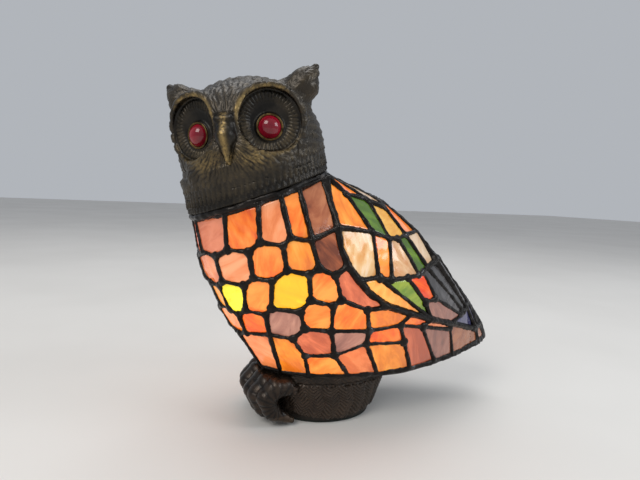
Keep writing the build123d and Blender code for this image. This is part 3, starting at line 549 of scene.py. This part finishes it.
def head_relief(points):
    """How far each point of the head is raised, how worn it is, and its relief value for the colour with
    the painted shade taken out of it.
    """
    x, y, z = points.T
    offset = points - np.array(SKULL)
    distance = np.linalg.norm(offset, axis=1)
    to_face = Vector((0, -1, 0.12)).normalized()
    angle = np.arccos(np.clip(offset @ np.array(to_face) / distance, -1, 1))
    point, normal = head_seat()
    above = (points - np.array(point)) @ np.array(normal)
    feathers, strokes, short_feathers = head_feathers(points, above, angle)
    height = 1.7 * feathers
    worn = 0.07 * np.clip((feathers - 0.72) * 4, 0, 1)
    cheek = np.exp(-(((np.abs(x) - 15) / 11) ** 2) - ((z + 13) / 7) ** 2) * (y < -20)
    worn = np.maximum(worn, 0.75 * cheek * np.clip((strokes - 0.45) * 3, 0, 1))
    chin = (above < 20) & (y < 0)
    worn = np.where(chin, np.maximum(worn, 0.09 * np.clip((short_feathers - 0.6) * 3, 0, 1)), worn)
    shade = np.zeros_like(x)
    for side, out, at in zip(SIDES, EYE_OUT, EYE_AT):
        height, worn, shade = eye_relief(points, side, out, at, height, worn, shade)
    height, worn = beak_relief(points, height, worn)
    outside = np.clip((distance - 41.0) / 1.0, 0, 1) * np.clip(above / 1.2, 0, 1)
    inner = (distance < 45.8) & (angle > 1.2)
    outside = np.where(inner, 0, outside)
    # painted shade: the head darkens towards the collar, under the face
    chin_shade = np.clip((16 - above) / 14, 0, 0.75)
    shade = np.maximum(shade, chin_shade)
    # the painted shade also takes away some worn brass and darkens the relief value
    return height * outside, worn * (1 - 0.6 * shade), np.clip(height / 1.5, 0, 1) * (1 - shade)


def make_head(material):
    """The cast head with its feathers, turned and set on the neck."""
    step = 0.62
    low = (-60, -62, -52)
    high = (60, 56, 56)
    points, quads = mesh_field(head_field(grid(low, high, step)), low, step)
    normals = vertex_normals(points, quads)
    height, worn, relief = head_relief(points)
    points = points + normals * (height - 0.4)[:, None]
    turned = points @ np.array(HEAD_PLACE.to_3x3()).T + np.array(HEAD_PLACE.translation)
    head = new_object("head", turned * MM, quads.tolist(), material)
    # the relief value holds the painted shade as well as the hollows
    set_float(head, "relief", relief)
    set_float(head, "worn", worn)
    stand_in(head, "shade", "head_casting")


def make_collar(material):
    """The lumpy bead of solder between the head and the glass."""
    steps = 240
    sides = 20
    bead_r = 48.9
    around = np.linspace(0, 2 * math.pi, steps, endpoint=False)[:, None]
    section = np.linspace(0, 2 * math.pi, sides, endpoint=False)[None, :]
    lump = 0.5 * np.sin(around * 17 + 1.3 * np.sin(around * 5)) + 0.4 * np.sin(around * 41 + section)
    thick = 2.3 + 0.5 * lump + 0.3 * np.sin(around * 9 + section * 2)
    radius = bead_r + thick * np.cos(section)
    lift = 0.9 + thick * np.sin(section)
    forward = -radius * np.cos(around)
    x = NECK_AT.x + radius * np.sin(around)
    y = NECK_AT.y + forward * math.cos(NECK_TILT) - lift * math.sin(NECK_TILT)
    z = NECK_AT.z + forward * math.sin(NECK_TILT) + lift * math.cos(NECK_TILT)
    points = np.stack([x, y, z], 2).reshape(-1, 3)
    faces = []
    for i in range(steps):
        here = i * sides
        after = (i + 1) % steps * sides
        for j in range(sides):
            k = (j + 1) % sides
            faces.append((here + j, after + j, after + k, here + k))
    collar = new_object("collar_bead", points * MM, faces, material)
    stand_in(collar, "shade", "neck_ring")


# ---------------------------------------------------------------- base

# half widths in x and y of the stump's ovals, and the heights of its parts
FOOT_OVAL = (28.5, 36.5)
DECK_OVAL = (34.0, 46.5)
BAND_OVAL = (35, 48)
LIP_OVAL = (31.3, 43.3)
RECESS_OVAL = (28.7, 36.7)
WALL = 3.5
FOOT_Z = 1.2
BAND_Z = 31.1
TOP_Z = 36.4
RELIEF_TOP = 30.6
TUBE_Y = -18
SCREW_PLACES = [(x, y) for x in (-15.5, 15.5) for y in (-20, 20)]
# each toe's distance from the middle and its reach to the front
TOES = [(8.2, 56.5), (17.0, 55.0), (25.4, 50.5)]


def oval(x, y, a, b):
    """Roughly the distance to an oval tube with half widths a and b."""
    return (np.sqrt((x / a) ** 2 + (y / b) ** 2) - 1) * a


def toe_field(p, x, reach):
    """A toe from the rim, over its knuckle and down to a short claw."""
    back = (x, -36, 29)
    knuckle = (x, 6 - reach, 29)
    bend = (x, -reach - 0.5, 22)
    toe = taper(p, back, knuckle, 6.2, 6.6)
    toe = smooth_join(toe, taper(p, knuckle, bend, 6.6, 6.4), 2)
    toe = smooth_join(toe, taper(p, bend, (x, 3 - reach, 13), 6.2, 5.8), 2)
    return smooth_join(toe, taper(p, (x, 5 - reach, 10), (x, 18 - reach, 4), 5.2, 2.2), 2)


def base_field(p):
    """The cast stump: tapering wall, rim band, feet curled over its front, hollow under its deck."""
    x, y, z = p
    share = np.clip((z - 3.6) / 27.4, 0, 1)
    a = FOOT_OVAL[0] + (DECK_OVAL[0] - FOOT_OVAL[0]) * share
    b = FOOT_OVAL[1] + (DECK_OVAL[1] - FOOT_OVAL[1]) * share
    field = np.maximum(oval(x, y, a, b), z - TOP_Z)
    band = np.maximum(oval(x, y, *BAND_OVAL), np.abs(z - (BAND_Z + 2.6)) - 2.6)
    field = smooth_join(field, band, 1.0)
    for side in SIDES:
        for toe_x, reach in TOES:
            field = smooth_join(field, toe_field(p, side * toe_x, reach), 1.4)
    field = np.maximum(field, FOOT_Z - z)
    field = np.maximum(field, -np.maximum(oval(x, y, a - WALL, b - WALL), z - 32.4))
    for boss_x, boss_y in SCREW_PLACES:
        boss = np.sqrt((x - boss_x) ** 2 + (y - boss_y) ** 2) - 3.4
        field = np.minimum(field, np.maximum(boss, np.abs(z - 18) - 14.4))
    lip = np.abs(oval(x, y, *LIP_OVAL)) - 1.3
    field = np.minimum(field, np.maximum(lip, np.abs(z - 36.7) - 1.2))
    bore = np.maximum(np.sqrt(x**2 + (y - TUBE_Y) ** 2) - 5.2, 30 - z)
    field = np.maximum(field, -bore)
    cord_hole = np.maximum(np.sqrt(y**2 + (z - 12) ** 2) - 4.6, x + 22)
    field = np.maximum(field, -cord_hole)
    recess = np.maximum(oval(x, y, *RECESS_OVAL), z - 3.7)
    return np.maximum(field, -recess)


def base_relief(points):
    """Herringbone barbs on the wall, scales across the toes and a lumpy band."""
    x, y, z = points.T
    outside = (np.sqrt((x / 33.2) ** 2 + (y / 45) ** 2) > 0.86) | (y < -38)
    turn = np.arctan2(x / 31, -y / 42) / (2 * math.pi)
    column = turn * 24 + 0.12 * np.sin(z * 0.3)
    across = np.mod(column, 1) - 0.5
    slant = z * 1.25 - np.abs(across) * 11 + 3 * hash01(np.floor(column), 1.0)
    barbs = waves(slant)
    height = 1.7 * (0.9 * barbs + 0.7 * np.sqrt(np.clip(1 - 2 * np.abs(across), 0, 1)))
    height = height * (z < RELIEF_TOP) * (z > 4)
    toes = (y < -44.5 + 0.35 * np.abs(x)) | ((y < -38) & (z < 16) & (np.abs(x) < 24))
    around = np.arctan2(z - 18, y + 44)
    scales = waves(around * 7.5)
    height = np.where(toes & (z < 35.5), 0.5 * scales, height)
    claws = (z < 9) & (y < -30) & (y > -50)
    height = np.where(claws, 0.12 * waves(y * 0.8), height)
    lumps = 0.35 * np.sin(turn * 130 + 2 * np.sin(turn * 31)) + 0.3 * np.sin(turn * 57)
    height = np.where((z > RELIEF_TOP) & ~toes, lumps, height)
    height = height * outside * (z > 1.6) * (z < 36.0)
    worn = np.where(toes, 0.22 * np.clip(scales - 0.5, 0, 1), 0.45 * np.clip(barbs - 0.55, 0, 1))
    worn = np.where(claws, 0.30, worn)
    return height, worn, np.clip(height / 1.5, 0, 1)


def make_base(material):
    """The stump with its feet and its relief."""
    step = 0.55
    low = (-40, -76, -1)
    high = (40, 52, 43)
    points, quads = mesh_field(base_field(grid(low, high, step)), low, step)
    normals = vertex_normals(points, quads)
    height, worn, relief = base_relief(points)
    points = points + normals * height[:, None]
    points[:, 2] = np.maximum(points[:, 2], 0.9)
    base = new_object("base", points * MM, quads.tolist(), material)
    set_float(base, "relief", np.where(points[:, 2] > RELIEF_TOP, 0.35, relief))
    set_float(base, "worn", worn)
    stand_in(base, "stand", "base_casting")


# ---------------------------------------------------------------- leadwork

def settle(obj):
    """Turns an object's modifiers into its own smooth mesh."""
    graph = bpy.context.evaluated_depsgraph_get()
    made = bpy.data.meshes.new_from_object(obj.evaluated_get(graph))
    obj.modifiers.clear()
    obj.data = made
    made.polygons.foreach_set("use_smooth", [True] * len(made.polygons))


def pane_islands(work):
    """The connected panes of a welded mesh, as lists of faces."""
    seen = set()
    found = []
    for first in work.faces:
        if first in seen:
            continue
        seen.add(first)
        queue = [first]
        island = [first]
        while queue:
            for edge in queue.pop().edges:
                for other in edge.link_faces:
                    if other not in seen:
                        seen.add(other)
                        queue.append(other)
                        island.append(other)
        found.append(island)
    return found


def pane_points(island):
    """A pane's points, each once and always in the same order."""
    return list(dict.fromkeys(point for face in island for point in face.verts))


def pane_corners():
    """The outer corners of every pane, each with its pane's number and outward normal."""
    corners = []
    for node in sorted(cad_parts):
        if not node.startswith("glass_"):
            continue
        work = welded(node)
        for number, island in enumerate(pane_islands(work)):
            points = pane_points(island)
            centre = sum((v.co for v in points), Vector()) / len(points)
            normal = max(island, key=lambda face: face.calc_area()).normal.copy()
            if normal.dot(centre - BODY_MIDDLE) < 0:
                normal.negate()
            outer = [v for v in points if normal.dot(v.co - centre) > 0]
            corners += [(v.co.copy(), (node, number), normal) for v in outer]
        work.free()
    return corners


def solder_blobs(work):
    """Flat pools of solder where three or more panes meet, added to the lattice."""
    corners = pane_corners()
    places = np.array([place for place, _, _ in corners])
    done = []
    for place, _, _ in corners:
        near = np.where(np.linalg.norm(places - np.array(place), axis=1) < 5.2 * MM)[0]
        if len({corners[i][1] for i in near}) < 3:
            continue
        centre = Vector(places[near].mean(0))
        if any((centre - other).length < 3.5 * MM for other in done):
            continue
        done.append(centre)
        normal = sum((corners[i][2] for i in near), Vector()).normalized()
        wide = 2.5 + 0.8 * float(hash01(round(centre.y * 1e4), round(centre.z * 1e4)))
        turned = normal.to_track_quat("Z", "Y").to_matrix().to_4x4()
        flat = Matrix.Diagonal((wide * MM, wide * MM, 1.35 * MM, 1))
        shape = Matrix.Translation(centre + normal * 0.1 * MM) @ turned @ flat
        bmesh.ops.create_icosphere(work, subdivisions=3, radius=1, matrix=shape)


def make_came(material):
    """The lattice as rounded, slightly uneven solder beads."""
    work = welded("came")
    solder_blobs(work)
    came = object_from(work, "leadwork", material)
    remesh = came.modifiers.new("cells", "REMESH")
    remesh.mode = "VOXEL"
    remesh.voxel_size = 0.62 * MM
    soften = came.modifiers.new("soften", "SMOOTH")
    soften.factor = 0.6
    soften.iterations = 7
    settle(came)
    lumps = bpy.data.textures.new("solder_lumps", "CLOUDS")
    lumps.noise_scale = 0.007
    swell = came.modifiers.new("swell", "DISPLACE")
    swell.texture = lumps
    swell.texture_coords = "LOCAL"
    swell.strength = 1.5 * MM
    swell.mid_level = 0.12
    settle(came)
    stand_in(came, "shade", "came")


# ---------------------------------------------------------------- glass

def cut_fine(work, longest):
    """Cuts a mesh's edges until none is much longer than a given length."""
    bmesh.ops.triangulate(work, faces=work.faces)
    for _ in range(4):
        long_edges = [edge for edge in work.edges if edge.calc_length() > longest]
        bmesh.ops.subdivide_edges(work, edges=long_edges, cuts=1)
        bmesh.ops.triangulate(work, faces=work.faces)


def pane_places(work):
    """The centre and the outward normal of every pane of a mesh."""
    centres = []
    outs = []
    for island in pane_islands(work):
        centre = np.array([point.co for point in pane_points(island)]).mean(0)
        normal = np.array(max(island, key=lambda face: face.calc_area()).normal)
        centres.append(centre)
        outs.append(-normal if normal @ (centre - np.array(BODY_MIDDLE)) < 0 else normal)
    return np.array(centres), np.array(outs)


def nearest_pane(points, centres, outs):
    """The number of the pane that each point belongs to."""
    from_centres = points[:, None, :] - centres[None]
    height = np.abs((from_centres * outs[None]).sum(2))
    return ((from_centres**2).sum(2) + 40 * height**2).argmin(1)


def streak_place(rel, centre, out, seed):
    """Each point's place across and along its pane's streaks, which lean by the pane's seed."""
    up = np.array((0.0, 0.0, 1.0)) - out * out[:, 2:3]
    up /= np.linalg.norm(up, axis=1, keepdims=True)
    side = np.cross(up, out)
    lean = (seed - 0.5) * 2.4
    along = up * np.cos(lean)[:, None] + side * np.sin(lean)[:, None]
    across = np.cross(along, out)
    flow = np.stack([(rel * across).sum(1), (rel * along).sum(1), (rel * out).sum(1) * 0.2], 1)
    return flow + ((seed * 3.7)[:, None] + centre * 2)


def bulb_light(points, centre, out):
    """How brightly the bulb's painted light falls on each point of its pane."""
    to_bulb = np.array(BULB) - centre
    facing = np.clip(-(to_bulb * out).sum(1) / np.linalg.norm(to_bulb, axis=1), 0.15, 1)
    here = np.linalg.norm(np.array(BULB) - points, axis=1)
    return np.minimum(0.30 + 0.9 * (0.055 / here) ** 1.6 * (0.45 + 0.55 * facing), 0.98)


def make_glass(node, material):
    """Every pane of a node as a gently rippled plate, each with its own streaks, tint and painted light.
    """
    work = welded(node)
    centres, outs = pane_places(work)
    cut_fine(work, 2.6 * MM)
    sheet = object_from(work, node + "_sheet", material)
    mesh = sheet.data
    points = np.empty(len(mesh.vertices) * 3)
    mesh.vertices.foreach_get("co", points)
    points = points.reshape(-1, 3)
    owner = nearest_pane(points, centres, outs)
    centre = centres[owner]
    out = outs[owner]
    rel = points - centre
    seed = hash01(np.round(centre[:, 1] * 1e4), np.round(centre[:, 2] * 1e4))
    flow = streak_place(rel, centre, out, seed)
    lit = bulb_light(points, centre, out)
    rise = (rel * out).sum(1)
    spread = np.linalg.norm(rel - rise[:, None] * out, axis=1)
    reach = np.zeros(len(centres))
    np.maximum.at(reach, owner, spread)
    share = spread / reach[owner]
    ripple = np.sin(flow[:, 0] * 620) * np.sin(flow[:, 1] * 430 + seed * 9) * 0.10 * MM
    dome = (1 - share**2) * 0.5 * MM
    points = points + out * (ripple + dome * (rise > 0))[:, None]
    mesh.vertices.foreach_set("co", points.ravel())
    mesh.update()
    set_vector(sheet, "flow", flow)
    set_float(sheet, "tint", seed)
    # painted light: brightness from the bulb, and a fade that dims it towards each pane's rim
    set_float(sheet, "lit", lit)
    set_float(sheet, "rim", np.clip((1 - share) * 2.2, 0, 1))
    mesh.polygons.foreach_set("use_smooth", [True] * len(mesh.polygons))
    mesh.set_sharp_from_angle(angle=math.radians(40))
    stand_in(sheet, "shade", node)


# colour family: three tones, strength of the painted glow
GLASS = {
    "brown": (((0.14, 0.028, 0.008), (0.32, 0.08, 0.025), (0.48, 0.17, 0.07)), 0.95),
    "honey": (((0.80, 0.17, 0.008), (1.0, 0.29, 0.02), (1.0, 0.42, 0.07)), 0.95),
    "mauve": (((0.24, 0.09, 0.07), (0.42, 0.17, 0.12), (0.56, 0.26, 0.18)), 0.85),
    "orange": (((0.85, 0.09, 0.003), (1.0, 0.18, 0.008), (1.0, 0.31, 0.04)), 1.0),
    "peach": (((0.80, 0.17, 0.04), (0.92, 0.26, 0.08), (1.0, 0.38, 0.17)), 0.95),
    "salmon": (((0.55, 0.10, 0.035), (0.72, 0.16, 0.06), (0.85, 0.25, 0.12)), 0.9),
    "yellow": (((1.0, 0.46, 0.004), (1.0, 0.70, 0.008), (1.0, 0.88, 0.03)), 1.1),
    "blue": (((0.02, 0.02, 0.07), (0.05, 0.055, 0.19), (0.12, 0.12, 0.28)), 0.5),
    "smoke": (((0.02, 0.02, 0.022), (0.06, 0.058, 0.062), (0.20, 0.19, 0.20)), 0.45),
    "cream": (((0.74, 0.34, 0.13), (0.82, 0.52, 0.28), (0.90, 0.68, 0.46)), 0.8),
    "green": (((0.06, 0.15, 0.001), (0.14, 0.28, 0.002), (0.32, 0.42, 0.015)), 0.8),
    "opal": (((0.78, 0.30, 0.04), (0.86, 0.55, 0.26), (0.92, 0.84, 0.74)), 0.8),
    "red": (((0.90, 0.06, 0.002), (1.0, 0.13, 0.004), (1.0, 0.30, 0.03)), 1.0),
    "amber": (((0.66, 0.22, 0.015), (0.82, 0.36, 0.035), (0.92, 0.52, 0.10)), 0.85),
}


# ---------------------------------------------------------------- build

bronze = bronze_material(
    "bronze_cast", dark=(0.005, 0.0038, 0.0025), body=(0.029, 0.023, 0.016),
    brass=(0.36, 0.25, 0.10), rough=0.38,
)
base_bronze = bronze_material(
    "bronze_base", dark=(0.003, 0.0024, 0.002), body=(0.026, 0.018, 0.013),
    brass=(0.20, 0.13, 0.08), rough=0.32,
)
lead = lead_material()

make_head(bronze)
make_collar(lead)
make_base(base_bronze)
make_came(lead)

glass_materials = {}
for name, (tones, glow) in GLASS.items():
    glass_materials[name] = art_glass("art_glass_" + name, tones, glow)
for node in sorted(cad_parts):
    if node.startswith("glass_"):
        family = node.split("_")[-1]
        tone = "amber" if "wing" in node and family == "yellow" else family
        make_glass(node, glass_materials[tone])

ruby = ruby_material()
brass = plain_material("brass_trim", (0.05, 0.032, 0.014), (0.20, 0.13, 0.05), 1.0, 0.36, 300)
sheet = plain_material("sheet_dark", (0.014, 0.012, 0.010), (0.05, 0.042, 0.036), 0.8, 0.42, 90)
steel = plain_material("steel", (0.30, 0.30, 0.31), (0.52, 0.52, 0.53), 1.0, 0.36, 220)
felt = plain_material("felt", (0.004, 0.006, 0.004), (0.010, 0.014, 0.010), 0.0, 0.9, 600, 0.0006)
black = plain_material("black_plastic", (0.010, 0.010, 0.011), (0.022, 0.022, 0.024), 0.0, 0.42, 140)
sheath = plain_material("cord_plastic", (0.008, 0.008, 0.009), (0.02, 0.02, 0.02), 0.0, 0.5, 260)
bakelite = plain_material("bakelite", (0.012, 0.009, 0.008), (0.03, 0.022, 0.018), 0.0, 0.3, 110)
bright = plain_material("contact_brass", (0.42, 0.29, 0.10), (0.66, 0.50, 0.22), 1.0, 0.28, 240)
ceramic = plain_material("ceramic_white", (0.62, 0.60, 0.56), (0.74, 0.72, 0.68), 0.0, 0.25, 120)
wire = plain_material("bulb_wire", (0.7, 0.42, 0.18), (0.95, 0.62, 0.3), 1.0, 0.3, 300)
lamp_glass = lamp_glass_material()

FINISH = {
    "bulb_cap": steel, "bulb_filament": wire, "bulb_glass": lamp_glass, "bulb_insulator": ceramic,
    "bulb_stem": lamp_glass, "bulb_tip": bright, "cord_grommet": black, "cord_lamp": sheath,
    "cord_plug": sheath, "cover_plate": sheet, "cover_screws": steel, "eye_left": ruby, "eye_right": ruby,
    "eye_ring_left": brass, "eye_ring_right": brass, "felt_pad": felt,
    "plug_body": black, "plug_pins": bright, "rocker": black, "rocker_pin": steel,
    "socket_contact": bright, "socket_core": ceramic, "socket_shell": bakelite, "socket_sleeve": bright,
    "switch_contacts": bright, "switch_lower": black, "switch_screws": steel, "switch_upper": black,
    "threaded_tube": steel, "tube_nuts": bright, "underside_plate": sheet,
}
for node, material in FINISH.items():
    put(node, material)


# ---------------------------------------------------------------- stage

def make_stage():
    """A pale flat floor, an even pale sky and three soft lights."""
    material, tree, shader = new_material("studio_floor")
    cloud = noise(tree, 3, 3)
    pale = ramp(tree, cloud, (0.3, (0.62, 0.60, 0.57)), (0.7, (0.68, 0.66, 0.63)))
    tree.links.new(pale, shader.inputs["Base Color"])
    shader.inputs["Roughness"].default_value = 0.55
    bpy.ops.mesh.primitive_plane_add(size=12, location=(0, 0, -0.0002))
    floor = bpy.context.object
    floor.name = "floor"
    floor.data.materials.append(material)
    world = bpy.data.worlds.new("studio")
    bpy.context.scene.world = world
    world.use_nodes = True
    background = world.node_tree.nodes["Background"]
    background.inputs["Color"].default_value = (0.80, 0.84, 0.90, 1)
    background.inputs["Strength"].default_value = 0.55
    for name, place, size, power, colour in (
        ("key", (0.9, -1.1, 1.3), 0.9, 16, (1.0, 0.97, 0.92)),
        ("side", (0.8, 1.1, 0.8), 0.7, 8, (0.9, 0.95, 1.0)),
        ("top", (-0.3, 0.1, 1.5), 1.0, 9, (1.0, 1.0, 1.0)),
    ):
        light = bpy.data.lights.new(name, "AREA")
        light.size = size
        light.energy = power
        light.color = colour
        lamp = bpy.data.objects.new(name, light)
        lamp.location = place
        lamp.rotation_euler = (Vector((0, 0, 0.12)) - Vector(place)).to_track_quat("-Z", "Y").to_euler()
        bpy.context.scene.collection.objects.link(lamp)


def make_camera():
    """The camera, close by and a little above the lamp's middle."""
    data = bpy.data.cameras.new("camera")
    data.lens = 27.0
    data.sensor_width = 36.0
    camera = bpy.data.objects.new("camera", data)
    azimuth = math.radians(71.2)
    pitch = math.radians(5.2)
    roll = math.radians(2.4)
    level = math.cos(pitch)
    look = Vector((-math.sin(azimuth) * level, math.cos(azimuth) * level, -math.sin(pitch)))
    turn = look.to_track_quat("-Z", "Y").to_matrix().to_4x4() @ Matrix.Rotation(roll, 4, "Z")
    camera.matrix_world = Matrix.Translation((0.341, -0.124, 0.163)) @ turn
    bpy.context.scene.collection.objects.link(camera)
    bpy.context.scene.camera = camera


make_stage()
make_camera()
bpy.context.scene.view_settings.view_transform = "Standard"
